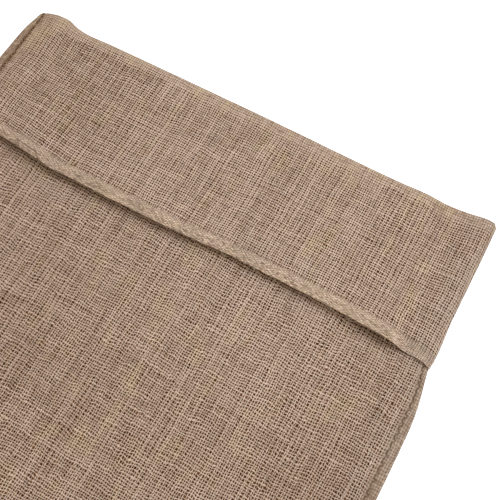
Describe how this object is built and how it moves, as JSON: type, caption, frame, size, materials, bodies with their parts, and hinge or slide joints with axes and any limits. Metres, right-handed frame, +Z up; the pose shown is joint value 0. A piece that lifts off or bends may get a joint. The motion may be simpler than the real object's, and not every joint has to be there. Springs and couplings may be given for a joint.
{
  "type": "jute sack with its mouth folded over",
  "caption": "Flat-lying open-weave jute sack with flanged side seams and a hemmed mouth folded over onto its front as a deep cuff.",
  "frame": {"origin": "middle of the sack's box, on the surface it lies on", "axes": "+Y along the sack towards the folded-over mouth end, +X across it, +Z up out of the surface"},
  "size_m": [0.5226, 0.653, 0.0145],
  "materials": {
    "jute": "open plain weave of dry, unbleached jute yarn, matt"
  },
  "bodies": {
    "root": {"sack_cloth": "jute"}
  },
  "joints": []
}
